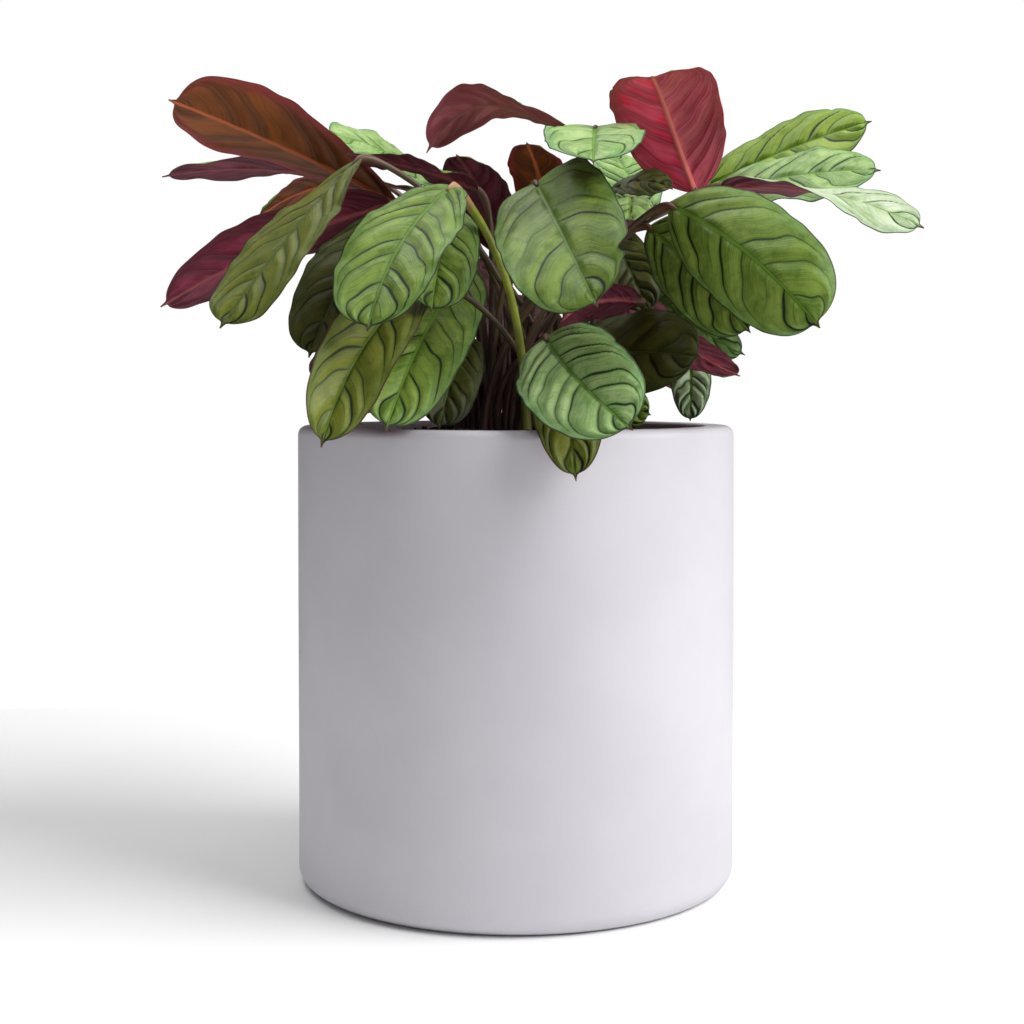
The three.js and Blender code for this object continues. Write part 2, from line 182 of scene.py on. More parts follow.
LEAVES = {
    "left_01": dict(base=(-55, 25, 311), tip=(-157, -15, 355), width=49, belly=1.85, arch=(4, 3),
        roll=28, twist=30, fold=(15, 15), curl=(0, 0), spot=17),
    "left_02": dict(base=(-55, 66, 324), tip=(-172, 44, 327), width=36, belly=1.6, arch=(5, 11),
        roll=4, twist=20, fold=(0, 0), curl=(0, 0), spot=6),
    "left_03": dict(base=(-69, -38, 325), tip=(-124, -75, 250), width=46, belly=1.1, arch=(4, 2),
        roll=-1, twist=-30, fold=(-8, 11), curl=(0, 0), lean=(12, 16), spot=10),
    "left_04": dict(base=(-40, 68, 326), tip=(-89, 22, 345), width=40, arch=(5, 5),
        roll=-38, fold=(4, 4), curl=(-10, -10), spot=43),
    "left_05": dict(base=(-18, 8, 317), tip=(-76, -19, 330), width=28, arch=(3, 3),
        roll=4, fold=(0, 0), curl=(0, 0), wave=(1.6, 2, 0), lean=(0, 4), spot=9),
    "left_06": dict(base=(-77, 112, 333), tip=(-133, 90, 311), width=36, roll=20, lean=(0, -5), spot=35),
    "left_07": dict(base=(-58, 5, 310), tip=(-159, -25, 261), width=42, arch=(7, 7),
        roll=38, fold=(8, 8), curl=(0, 0), spot=21),
    "left_08": dict(base=(-59, -8, 304), tip=(-90, -48, 238), width=42, roll=-22, fold=(30, 0),
        curl=(-10, -10), spot=51),
    "front_01": dict(base=(-27, -42, 313), tip=(-60, -100, 248),
        width=48, belly=1.2, roll=-9, sway=5, curl=(-10, -10), knee=(16, 4, -18), spot=57),
    "front_02": dict(base=(9, -35, 315), tip=(32, -122, 257), width=56, roll=29, fold=(15, 2),
        curl=(-5, -10), ahead=((-14, 0), (-12, 4)), wave=(2, 1.5, 0), spot=20),
    "front_03": dict(base=(-30, -24, 306), tip=(-36, -66, 257), width=35, roll=-11, fold=(5, 22),
        curl=(-20, 0), spot=3),
    "front_04": dict(base=(-22, 12, 281), tip=(-53, -98, 207), width=42, arch=(2, 12),
        roll=-23, sway=4, fold=(10, 5), curl=(-15, -15), spot=22),
    "front_05": dict(base=(-40, -41, 271), tip=(-79, -99, 201),
        width=36, belly=1.25, roll=-37, sway=8, fold=(20, 36), curl=(0, 0), lean=(-4, -8), spot=31),
    "front_06": dict(base=(-24, -8, 249), tip=(-33, -60, 207), width=27, roll=-16, spot=25),
    "front_07": dict(base=(-27, -15, 225), tip=(-68, -46, 212), width=30, roll=20, spot=46),
    "front_08": dict(base=(13, -62, 246), tip=(45, -134, 209), width=46, arch=(10, 10),
        roll=66, fold=(-8, 32), curl=(-25, -10), spot=52),
    "front_09": dict(base=(20, -50, 228), tip=(24, -113, 188), width=30, arch=(20, 23),
        roll=7, fold=(8, 8), curl=(0, 0), spot=36),
    "front_10": dict(base=(55, -38, 263), tip=(19, -62, 253), width=21, roll=50, lean=(-12, 4),
        knee=(10, 8, 0), spot=28),
    "top_01": dict(base=(37, 5, 345), tip=(32, -85, 318), width=45, arch=(4, 6), curl=(-10, -10), spot=19),
    "top_02": dict(base=(17, 42, 299), tip=(5, 2, 338), width=28, arch=(6, 6), spot=4),
    "top_03": dict(base=(27, 28, 348), tip=(-44, 55, 340), width=34, belly=1.3, arch=(8, 44),
        roll=20, twist=20, fold=(5, 5), curl=(0, 0), lean=(16, -6), spot=11),
    "top_04": dict(base=(-8, 50, 290), tip=(-28, 14, 334), width=32, spot=1),
    "right_01": dict(base=(87, 40, 319), tip=(60, -35, 362), width=52, arch=(10, 16),
        roll=-4, sway=6, fold=(30, -5), curl=(0, 0), lean=(12, 16), spot=34),
    "right_02": dict(base=(60, 40, 308), tip=(49, 72, 341), width=34, arch=(6, 6), spot=8),
    "right_03": dict(base=(54, 6, 312), tip=(50, -36, 298), width=23, arch=(4, 5), fold=(0, 0), spot=12),
    "right_04": dict(base=(95, 78, 325), tip=(173, 44, 354), width=42, belly=1.25, arch=(4, 4),
        roll=53, spot=16),
    "right_05": dict(base=(89, 14, 314), tip=(165, -16, 323), width=48, belly=1.25, arch=(5, 5),
        roll=35, lean=(-2, -6), spot=15),
    "right_06": dict(base=(90, -40, 313), tip=(174, -62, 293),
        width=44, belly=1.3, roll=10, twist=60, fold=(0, 0), curl=(0, 0), lean=(8, 16), spot=2),
    "right_07": dict(base=(66, -56, 303), tip=(121, -112, 249),
        width=51, belly=1.12, roll=71, sway=-7, fold=(-8, -8), curl=(-25, -25), spot=18),
    "right_08": dict(base=(59, -30, 296), tip=(98, -78, 248), width=36, roll=71, sway=-3, fold=(0, 0),
        lean=(2, 3), spot=41),
    "right_09": dict(base=(23, -5, 237), tip=(79, -64, 238), width=44, roll=60, spot=5),
    "right_10": dict(base=(83, 24, 242), tip=(81, 4, 209), width=20, belly=0.8, roll=-3, fold=(20, 20),
        spot=47),
    "right_11": dict(base=(49, 12, 273), tip=(101, -20, 230), width=28, roll=-159, spot=7),
    "right_12": dict(base=(56, 44, 284), tip=(108, 16, 240), width=24, roll=112, lean=(4, 12), spot=42),
    "right_13": dict(base=(45, 24, 297), tip=(61, -10, 259), width=26, roll=34, spot=50),
    "right_14": dict(base=(31, -26, 222), tip=(59, -46, 213), width=22, roll=79, spot=39),
    "right_15": dict(base=(43, 30, 315), tip=(73, 6, 317), width=24, roll=34, spot=29),
    "inner_01": dict(base=(3, 65, 211), tip=(2, 46, 252), width=36, roll=14, spot=58),
    "back_01": dict(base=(28, 62, 315), tip=(47, 138, 297), width=48, arch=(8, 10), lean=(-4, 20), spot=32),
    "back_02": dict(base=(-16, 72, 289), tip=(-35, 144, 250), arch=(8, 10), roll=10, spot=40),
    "back_03": dict(base=(26, 46, 286), tip=(67, 118, 247), arch=(8, 10), roll=-10, spot=37),
    "back_04": dict(base=(-24, 70, 307), tip=(-51, 146, 293), width=44, arch=(8, 10),
        roll=10, lean=(-8, 4), spot=14),
    "back_05": dict(base=(40, 46, 270), tip=(91, 98, 236), width=42, arch=(8, 10), spot=45),
    "back_06": dict(base=(-38, 26, 279), tip=(-100, 88, 244), width=44, arch=(8, 10), spot=30),
    "back_07": dict(base=(2, 48, 268), tip=(4, 134, 225), arch=(8, 12), spot=27),
    "back_08": dict(base=(22, 44, 257), tip=(61, 120, 221), width=40, arch=(8, 12), spot=24),
    "back_09": dict(base=(-22, 44, 257), tip=(-59, 118, 223), width=40, arch=(8, 12), spot=48),
    "back_10": dict(base=(-42, 12, 263), tip=(-99, 52, 229), width=36, spot=38),
    "back_11": dict(base=(42, 24, 253), tip=(85, 66, 221), width=34, spot=26),
}

# The look of each leaf: the colours of its two sides. A leaf that isn't named here is silver.
LOOK_OF = {
    "brown": ["left_01", "left_06", "top_02"],
    "maroon": ["left_02", "left_05", "left_07", "top_04", "right_11", "inner_01", "front_10"],
    # The rose under side is a brighter copy of the maroon one: painted light on top_03's under side.
    "rose_painted_lit": ["top_03"],
    "pink": ["right_01"],
    # front_08 takes the pale look as painted light, brighter than its own green, where it lies in shade.
    "pale": ["left_04", "top_01", "right_02", "right_03", "right_05", "right_12", "front_08"],
    # The light top is a brighter copy of the pale one: painted light on right_06 and right_10.
    "light": ["right_06", "right_10"],
    # The dark top is partly the leaves' own deeper green and partly painted shade, for leaves in the shade
    # inside and behind the plant.
    "dark": ["left_08", "front_06", "front_07", "right_09", "right_13", "right_15",
             "back_06", "back_08", "back_09", "back_10", "back_11"],
    "lime": ["right_04", "right_14", "back_04"],
    "olive": ["front_05", "left_03", "front_09"],
}

# The number of main veins on each half of the blade, where it isn't this.
PLAIN_VEINS = 6.4
VEINS = {"front_01": 7.2, "front_02": 5.2, "right_07": 5.0, "right_09": 5.0, "left_03": 7.4, "left_01": 6.0,
         "right_05": 6.0, "right_04": 6.6, "front_08": 7.2, "right_01": 6.4, "top_01": 4.4, "right_03": 4.0,
         "left_04": 5.0, "right_06": 5.4}

GREEN_STEMS = ["front_01", "right_14"]
STOUT_STEMS = {"front_01": 1.3}

# Small tears in a blade's edge: the half, the place along the blade, the depth as a share, the width.
NICKS = {
    "front_02": [(0, 0.84, 0.2, 0.022), (0, 0.9, 0.08, 0.02)],
    "right_06": [(1, 0.7, 0.06, 0.015), (1, 0.62, 0.05, 0.01)],
    "right_04": [(0, 0.8, 0.06, 0.012)],
    "left_03": [(0, 0.3, 0.07, 0.012)],
    "right_01": [(1, 0.93, 0.07, 0.012), (1, 0.82, 0.04, 0.01)],
    "front_01": [(0, 0.12, 0.1, 0.02)],
}

# How much of the light goes through a blade, and how deep, in metres.
LEAF_GLOW = 0.25
LEAF_GLOW_DEPTH = 0.0003

# Colours out of 255, chosen by comparing renders with the photo. A look that has no top of its own takes
# the silver one, and one that has no under side of its own takes the maroon one.
POINT_COLOUR = (78, 66, 34)
TOPS = {
    "silver": dict(body=(106, 136, 46), glow=(142, 168, 72), edge=(100, 146, 80), mid=(76, 108, 32),
                   vein=(14, 30, 8), rib=(100, 138, 34), margin=(34, 46, 22)),
    "pale": dict(body=(132, 170, 90), glow=(178, 204, 136), edge=(116, 172, 116), mid=(98, 142, 62),
                 vein=(22, 48, 20), rib=(110, 154, 54), margin=(46, 70, 36)),
    # A brighter copy of the pale top: painted light.
    "light": dict(body=(172, 192, 146), glow=(210, 220, 192), edge=(156, 188, 150), mid=(140, 170, 112),
                  vein=(40, 66, 36), rib=(130, 164, 82), margin=(60, 82, 48)),
    "lime": dict(body=(138, 170, 54), glow=(172, 196, 80), edge=(108, 156, 74), mid=(120, 156, 42),
                 vein=(24, 50, 12), rib=(112, 154, 40), margin=(50, 76, 32)),
    "olive": dict(body=(106, 116, 34), glow=(134, 140, 50), edge=(92, 116, 54), mid=(84, 102, 28),
                  vein=(22, 36, 10), rib=(88, 112, 28), margin=(76, 50, 26)),
    # Partly the leaves' own deeper green, partly painted shade.
    "dark": dict(body=(68, 72, 24), glow=(92, 96, 36), edge=(62, 82, 40), mid=(60, 72, 22),
                 vein=(20, 26, 10), rib=(76, 96, 30), margin=(40, 38, 20)),
}
UNDERS = {
    "maroon": dict(body=(118, 38, 56), glow=(152, 62, 86), edge=(84, 30, 40), band=(70, 22, 32),
                   rib=(156, 78, 82), streak=(160, 74, 94)),
    # A brighter copy of the maroon under side: painted light.
    "rose_painted_lit": dict(body=(218, 108, 132), glow=(236, 134, 156), edge=(170, 76, 92), band=(156, 66, 84),
                 rib=(184, 108, 112), streak=(200, 116, 136)),
    "pink": dict(body=(255, 36, 84), glow=(255, 90, 122), edge=(150, 48, 50), band=(168, 30, 60),
                 rib=(224, 118, 108), streak=(250, 136, 160)),
    "brown": dict(body=(132, 68, 20), glow=(158, 86, 28), edge=(178, 54, 72), band=(82, 42, 16),
                  rib=(204, 106, 62), streak=(168, 98, 44)),
}

# Painted shade: the half of a leaf that is painted darker below, on the side where the blade's columns
# start.
SHADED_HALF = {"pink": dict(body=(160, 50, 60), glow=(196, 84, 82))}


def linear(colour):
    """A colour out of 255 as Blender's linear one, with alpha."""
    shares = [part / 255 for part in colour]
    return tuple(x / 12.92 if x <= 0.04045 else ((x + 0.055) / 1.055) ** 2.4 for x in shares) + (1.0,)


def unit(vector):
    vector = np.asarray(vector, float)
    return vector / np.linalg.norm(vector, axis=-1, keepdims=True)


def turn(vector, axis, angle):
    """The vector turned about a unit axis."""
    cosine = math.cos(angle)
    across = np.cross(axis, vector)
    return vector * cosine + across * math.sin(angle) + axis * np.dot(axis, vector) * (1 - cosine)


def smooth(low, high, value):
    share = np.clip((value - low) / (high - low), 0, 1)
    return share * share * (3 - 2 * share)


def bezier(points, t):
    t = np.asarray(t, float)[:, None]
    u = 1 - t
    return u**3 * points[0] + 3 * u * u * t * points[1] + 3 * u * t * t * points[2] + t**3 * points[3]


def bezier_slope(points, t):
    t = np.asarray(t, float)[:, None]
    u = 1 - t
    first, second, third = points[1] - points[0], points[2] - points[1], points[3] - points[2]
    return 3 * u * u * first + 6 * u * t * second + 3 * t * t * third


class Sheet:
    """Collects points and four-sided faces, and what the shaders read at each corner of a face."""

    FIELDS = ("leaf_place", "leaf_vein", "leaf_reach")

    def __init__(self):
        self.points = []
        self.faces = []
        self.slots = []
        self.values = {field: [] for field in self.FIELDS}
        self.count = 0

    def add_points(self, points):
        first = self.count
        flat = np.asarray(points, float).reshape(-1, 3)
        self.points.append(flat)
        self.count += len(flat)
        return first

    def add_faces(self, faces, slot, **values):
        """Faces as rows of point numbers. Each value is one row of three numbers for each corner."""
        faces = np.asarray(faces, int)
        self.faces.append(faces)
        self.slots.append(np.full(len(faces), slot))
        for field in self.FIELDS:
            blank = np.zeros((len(faces), faces.shape[1], 3))
            self.values[field].append(np.asarray(values.get(field, blank), float).reshape(-1, 3))

    def build(self, name, materials):
        mesh = bpy.data.meshes.new(name)
        faces = [row for block in self.faces for row in block.tolist()]
        mesh.from_pydata((np.vstack(self.points) * MM).tolist(), [], faces)
        mesh.polygons.foreach_set("material_index", np.concatenate(self.slots).astype(np.int32))
        mesh.polygons.foreach_set("use_smooth", np.ones(len(faces), bool))
        for field in self.FIELDS:
            attribute = mesh.attributes.new(field, "FLOAT_VECTOR", "CORNER")
            attribute.data.foreach_set("vector", np.vstack(self.values[field]).astype(np.float32).ravel())
        for material in materials:
            mesh.materials.append(material)
        mesh.update()
        piece = bpy.data.objects.new(name, mesh)
        bpy.context.scene.collection.objects.link(piece)
        return piece


def grid_faces(rows, columns, first, flip=False, close=False):
    """The faces of a grid of points, row by row. A closed grid joins its last column to its first."""
    i, j = np.meshgrid(np.arange(rows - 1), np.arange(columns if close else columns - 1), indexing="ij")
    k = (j + 1) % columns
    corners = [i * columns + j, i * columns + k, (i + 1) * columns + k, (i + 1) * columns + j]
    faces = np.stack(corners, -1).reshape(-1, 4)
    return first + (faces[:, ::-1] if flip else faces)


def midrib_of(leaf):
    """The midrib as a Bezier curve, the chord's direction, and the way the blade faces about it."""
    base, tip = np.array(leaf["base"], float), np.array(leaf["tip"], float)
    chord = tip - base
    along = unit(chord)
    face = turn(unit(np.array([0, 0, 1.0]) - along * along[2]), along, math.radians(leaf["roll"]))
    side = np.cross(along, face)
    first = base + chord / 3 + face * leaf["arch"][0] + side * leaf["sway"]
    second = base + chord * 2 / 3 + face * leaf["arch"][1] + side * leaf["sway"]
    return np.array([base, first, second, tip]), along, face


def outline(s, belly):
    """Half width as a share of the greatest: an oval with a blunt end and a small point."""
    u = np.clip(s / BODY_END, 0, 1)
    body = (1 - np.abs(2 * u**belly - 1) ** BODY_BLUNT) ** (1 / BODY_FULL)
    point = POINT_TIP + POINT_FOOT * np.clip((1 - s) / POINT_LENGTH, 0, 1) ** POINT_SHARP
    return np.maximum(np.where(s < BODY_END, body, 0), np.where(s > 0.5, point, BASE_SHARE))


def worn(leaf, s, q):
    """How much narrower than its outline a blade is: a slow unevenness of the edge and its nicks."""
    turns = leaf["spot"] * EDGE_TURN + np.where(q < 0, 0, EDGE_SHIFT)
    loss = 0
    for number, (count, height) in enumerate(EDGE_WAVES, 1):
        loss = loss + height * (1 + np.sin(2 * math.pi * count * s + number * turns))
    for half, place, depth, wide in leaf["nicks"]:
        loss = loss + np.where((q < 0) == (half == 0), depth, 0) * np.exp(-((s - place) / wide) ** 2)
    return loss


def blade_surface(leaf, s, q, ripple):
    """Points of the blade's middle surface in rows along the midrib, and the way it faces at each."""
    midrib, chord, face = midrib_of(leaf)
    middle = bezier(midrib, s)
    along = unit(bezier_slope(midrib, s))
    lift = np.array([turn(face, chord, math.radians(leaf["twist"]) * (share - 0.5)) for share in s])
    across = unit(np.cross(along, lift))
    normal = np.cross(across, along)
    width = (outline(s, leaf["belly"]) * leaf["width"] / 2)[:, None]
    edge = np.abs(q)[None, :]
    hand = np.where(q < 0, -1.0, 1.0)[None, :]
    fold = np.radians(np.where(q < 0, leaf["fold"][0], leaf["fold"][1]))[None, :]
    curl = np.radians(np.where(q < 0, leaf["curl"][0], leaf["curl"][1]))[None, :]
    bend = np.where(np.abs(curl) < 1e-3, 1e-3, curl)
    slope = fold + curl * edge
    out = width / bend * (np.sin(fold + bend * edge) - np.sin(fold))
    out = out * (1 - worn(leaf, s[:, None], q[None, :]) * edge**3)
    rise = width / bend * (np.cos(fold) - np.cos(fold + bend * edge))
    height, count, phase = leaf["wave"]
    share = np.minimum(2 * width / leaf["width"], 1)
    angle = 2 * math.pi * count * s[:, None] + phase + np.where(q < 0, 0, WAVE_SHIFT)[None, :]
    rise = rise + height * edge**2 * np.sin(angle) * share
    rise = rise + ripple(s[:, None], q[None, :]) * edge**3 * share
    near_base = np.where(q < 0, leaf["ahead"][0][0], leaf["ahead"][1][0])[None, :]
    near_tip = np.where(q < 0, leaf["ahead"][0][1], leaf["ahead"][1][1])[None, :]
    lead = (near_base + (near_tip - near_base) * s[:, None]) * edge * share
    points = middle[:, None] + across[:, None] * (out * hand)[..., None] + normal[:, None] * rise[..., None]
    points = points + along[:, None] * lead[..., None]
    tilt = (slope * smooth(0, 0.06, edge))[..., None]
    facing = normal[:, None] * np.cos(tilt) - across[:, None] * hand[..., None] * np.sin(tilt)
    return points, facing, width


def vein_sweep(across):
    """How far along the blade a vein has run when it is this far across. Near the edge it follows it."""
    return sum(share * across**power for share, power in VEIN_SWEEP)


def vein_phase(leaf, s, across, half, draws):
    """A number that grows along the blade by one from each main vein to the next."""
    veins = leaf["veins"]
    plain = veins * (s - vein_sweep(across)) + FIRST_VEIN + VEIN_LAG * half + draws[0]
    uneven = VEIN_UNEVEN * np.sin(2 * math.pi * (plain / VEIN_UNEVEN_LENGTH + draws[1] + 0.3 * half))
    bends = VEIN_BEND * np.sin(2 * math.pi * (VEIN_BEND_COUNT * across + draws[2] + s))
    return plain + uneven + bends * across


def steepness(points, value, s, q):
    """How fast a value changes over a grid of points, for each millimetre on the surface."""
    down = np.gradient(points, s, axis=0)
    over = np.gradient(points, q, axis=1)
    value_down = np.gradient(value, s, axis=0)
    value_over = np.gradient(value, q, axis=1)
    dd, do, oo = (down * down).sum(-1), (down * over).sum(-1), (over * over).sum(-1)
    area = np.maximum(dd * oo - do * do, 1e-6)
    square = (oo * value_down**2 - 2 * do * value_down * value_over + dd * value_over**2) / area
    return np.sqrt(np.maximum(square, 1e-8))


def to_nearest(phase):
    return np.abs(phase - np.round(phase))


def blade_columns(count):
    """Places across the blade from -1 to 1, closer together at the midrib and at the two edges."""
    u = np.linspace(0, 1, count)
    half = np.append(0.975 * u * (0.45 + 0.55 * u), 1.0)
    return np.concatenate([-half[:0:-1], half])


def blade_rows(count):
    """Places along the blade from 0 to 1, closer together at both ends of its body and in its point."""
    body = BODY_END * (0.5 - 0.5 * np.cos(np.linspace(0, math.pi, count)))
    body = 0.7 * body + 0.3 * np.linspace(0, BODY_END, count)
    return np.concatenate([body[:-1], POINT_ROWS])


def add_blade(sheet, leaf, rows, columns, random):
    s, q = blade_rows(rows), blade_columns(columns)
    draws = random.random(8)

    def ripple(share, place):
        total = 0
        for k, (count, height) in enumerate(RIPPLES):
            shift = draws[3 + k] + np.where(place < 0, 0.0, RIPPLE_SHIFT)
            total = total + height * np.sin(2 * math.pi * (count * share + shift))
        return total

    points, facing, width = blade_surface(leaf, s, q, ripple)
    across = np.abs(q)[None, :] * np.ones_like(width)
    along = s[:, None] * np.ones_like(across)
    reach_rib = across * width
    reach_edge = (1 - across) * width + 0.05
    centre = len(q) // 2
    halves = []
    for half in (0, 1):
        phase = vein_phase(leaf, along, across, half, draws)
        part = slice(0, centre + 1) if half == 0 else slice(centre, None)
        steep = np.ones_like(phase)
        steep[:, part] = steepness(points[:, part], phase[:, part], s, q[part])
        halves.append((phase, steep))
    left = np.arange(len(q)) < centre
    phase = np.where(left[None, :], halves[0][0], halves[1][0])
    steep = np.where(left[None, :], halves[0][1], halves[1][1])
    near_vein = np.exp(-(to_nearest(phase) / steep / VEIN_VALLEY) ** 2)
    taper = smooth(*FROM_RIB, across) * (1 - smooth(*TO_EDGE, across)) * smooth(*FROM_BASE, along)
    taper = taper * (1 - smooth(*TO_TIP, along))
    pillow = PILLOW_RISE * np.sin(math.pi * phase) ** 2 * taper
    crease = np.exp(-(reach_rib / RIB_VALLEY) ** 2)
    rib = (RIB_DEPTH * (1 - along) ** RIB_FADE + RIB_TIP_DEPTH) * np.exp(-(reach_rib / RIB_WIDTH) ** 2)
    thick = BLADE_HALF * (1 - EDGE_THINNING * across**4)
    above = thick + pillow - VEIN_DEPTH * near_vein * taper - CREASE_DEPTH * crease * (1 - along)
    below = -thick + pillow - VEIN_RIDGE * near_vein * taper - rib
    upper = sheet.add_points(points + facing * above[..., None])
    lower = sheet.add_points(points + facing * below[..., None])
    count_rows, count_columns = across.shape

    def corner_values(faces, first, side):
        places = faces - first
        left_face = (places % count_columns).min(1) < centre

        def rows_of(*values):
            return np.stack([np.broadcast_to(value, places.shape) for value in values], -1)

        def of_half(k):
            return np.where(left_face[:, None], *(half[k].ravel()[places] for half in halves))

        return dict(
            leaf_place=rows_of(along.ravel()[places], across.ravel()[places], side),
            leaf_vein=rows_of(of_half(0), of_half(1), np.where(left_face, 0.0, 1.0)[:, None]),
            leaf_reach=rows_of(reach_edge.ravel()[places], reach_rib.ravel()[places], draws[7]),
        )

    top = grid_faces(count_rows, count_columns, upper)
    sheet.add_faces(top, 0, **corner_values(top, upper, 1))
    bottom = grid_faces(count_rows, count_columns, lower, flip=True)
    sheet.add_faces(bottom, 0, **corner_values(bottom, lower, 0))
    number = np.arange(count_rows * count_columns).reshape(count_rows, count_columns)
    loop = np.concatenate([number[0, :-1], number[:-1, -1], number[-1, :0:-1], number[:0:-1, 0]])
    after = np.roll(loop, -1)
    wall = np.stack([upper + loop, lower + loop, lower + after, upper + after], -1)
    inner = np.stack([loop, loop, after, after], -1)
    values = corner_values(inner + upper, upper, 1)
    values["leaf_place"][..., 2] = np.array([1.0, 0.0, 0.0, 1.0])
    sheet.add_faces(wall, 0, **values)


def spot_of(leaf):
    reach = SPOT_STEP * math.sqrt(leaf["spot"])
    angle = leaf["spot"] * SPOT_TURN
    return np.array([reach * math.cos(angle), reach * math.sin(angle), SOIL_TOP])


def stem_path(leaf):
    """The stem's centre line: straight out of the soil, up and over, and a little way under the blade."""
    midrib, _, _ = midrib_of(leaf)
    foot = spot_of(leaf)
    out = foot + [0, 0, STEM_STRAIGHT]
    knee = leaf.get("knee", -STEM_KNEE * unit(midrib[1] - midrib[0]))
    rise = STEM_RISE * np.linalg.norm(midrib[0] - out)
    above = out + [leaf["lean"][0], leaf["lean"][1], rise]
    curve = np.array([out, above, midrib[0] + knee, midrib[0]])
    arc = bezier(curve, 1 - (1 - np.linspace(0, 1, STEM_ROWS)) ** 1.25)
    length = np.linalg.norm(midrib[3] - midrib[0])
    under = bezier(midrib, np.linspace(0, STEM_UNDER_BLADE / length, 4)[1:])
    return np.vstack([foot - [0, 0, STEM_DEPTH], arc, under])


def tube_rings(path, radii, sides):
    """Rings of points round a path, turned as little as possible from one to the next."""
    along = unit(np.gradient(path, axis=0))
    across = unit(np.cross(along[0], [0.3, 0.9, 0.1]))
    angles = np.linspace(0, 2 * math.pi, sides, endpoint=False)
    rings = []
    for place, direction, radius in zip(path, along, radii):
        across = unit(across - direction * np.dot(across, direction))
        other = np.cross(direction, across)
        ring = np.outer(np.cos(angles), across) + np.outer(np.sin(angles), other)
        rings.append(place + ring * np.asarray(radius).reshape(-1, 1))
    return np.array(rings)


def add_stem(sheet, leaf, stout, random):
    path = stem_path(leaf)
    steps = np.linalg.norm(np.diff(path, axis=0), axis=1)
    length = np.concatenate([[0], np.cumsum(steps)])
    height = length - STEM_DEPTH
    to_blade = np.maximum(length[-1] - STEM_UNDER_BLADE - length, 0)
    knee = np.exp(-((to_blade - KNEE_PLACE) / KNEE_LENGTH) ** 2)
    sheath = np.exp(-np.maximum(height, 0) / SHEATH_LENGTH)
    radii = stout * (STEM_THIN + STEM_SHEATH * sheath + STEM_KNEE_SWELL * knee)
    radii = radii * (1 + STEM_UNEVEN * np.sin(length / STEM_UNEVEN_LENGTH + random.random() * 6))
    radii[-3:] *= STEM_END
    rings = tube_rings(path, radii, STEM_SIDES)
    first = sheet.add_points(rings)
    faces = grid_faces(len(path), STEM_SIDES, first, close=True)
    places = (faces - first) // STEM_SIDES
    around = ((faces - first) % STEM_SIDES) / STEM_SIDES
    blank = np.zeros(places.shape)
    sheet.add_faces(
        faces, 1,
        leaf_place=np.stack([blank, around, blank], -1),
        leaf_vein=np.stack([height[places], to_blade[places], blank], -1),
        leaf_reach=np.stack([blank, blank, blank + random.random()], -1),
    )
    for ring, flip in ((0, True), (len(path) - 1, False)):
        cap = first + ring * STEM_SIDES + np.arange(STEM_SIDES)
        sheet.add_faces([cap[::-1] if flip else cap], 1)


class Tree:
    """Short ways to add nodes to a material's shader."""

    def __init__(self, name):
        self.material = bpy.data.materials.new(name)
        self.material.use_nodes = True
        self.nodes = self.material.node_tree.nodes
        self.links = self.material.node_tree.links
        self.shader = self.nodes["Principled BSDF"]

    def put(self, socket, value):
        if isinstance(value, bpy.types.NodeSocket):
            self.links.new(value, socket)
        else:
            socket.default_value = value

    def set(self, name, value):
        self.put(self.shader.inputs[name], value)

    def math(self, operation, *values):
        node = self.nodes.new("ShaderNodeMath")
        node.operation = operation
        for socket, value in zip(node.inputs, values):
            self.put(socket, value)
        return node.outputs[0]

    def add(self, first, second):
        return self.math("ADD", first, second)

    def times(self, *values):
        total = values[0]
        for value in values[1:]:
            total = self.math("MULTIPLY", total, value)
        return total

    def smooth(self, value, low, high, first=0.0, last=1.0):
        node = self.nodes.new("ShaderNodeMapRange")
        node.interpolation_type = "SMOOTHSTEP"
        for socket, given in zip(node.inputs, (value, low, high, first, last)):
            self.put(socket, given)
        return node.outputs[0]

    def mix(self, share, first, second):
        node = self.nodes.new("ShaderNodeMix")
        node.data_type = "RGBA"
        for place, value in ((0, share), (6, first), (7, second)):
            self.put(node.inputs[place], value)
        return node.outputs[2]

    def coat(self, colour, paints, *layers):
        """A colour with coats of paint over it, each given as its share and the paint's name."""
        for share, name in layers:
            colour = self.mix(share, colour, paints[name])
        return colour

    def split(self, vector):
        node = self.nodes.new("ShaderNodeSeparateXYZ")
        self.put(node.inputs[0], vector)
        return node.outputs

    def join(self, x, y, z):
        node = self.nodes.new("ShaderNodeCombineXYZ")
        for socket, value in zip(node.inputs, (x, y, z)):
            self.put(socket, value)
        return node.outputs[0]

    def attribute(self, name):
        node = self.nodes.new("ShaderNodeAttribute")
        node.attribute_name = name
        return node.outputs["Vector"]

    def place(self):
        return self.nodes.new("ShaderNodeTexCoord").outputs["Object"]

    def noise(self, vector, scale, detail, rough):
        node = self.nodes.new("ShaderNodeTexNoise")
        self.put(node.inputs["Vector"], vector)
        self.put(node.inputs["Scale"], scale)
        self.put(node.inputs["Detail"], detail)
        self.put(node.inputs["Roughness"], rough)
        return node.outputs[0]

    def cells(self, vector, scale):
        node = self.nodes.new("ShaderNodeTexVoronoi")
        self.put(node.inputs["Vector"], vector)
        self.put(node.inputs["Scale"], scale)
        return node.outputs["Distance"]

    def random(self, vector):
        node = self.nodes.new("ShaderNodeTexWhiteNoise")
        node.noise_dimensions = "3D"
        self.put(node.inputs["Vector"], vector)
        return node.outputs["Value"]

    def bump(self, height, strength, distance):
        node = self.nodes.new("ShaderNodeBump")
        self.put(node.inputs["Strength"], strength)
        self.put(node.inputs["Distance"], distance)
        self.put(node.inputs["Height"], height)
        self.set("Normal", node.outputs["Normal"])


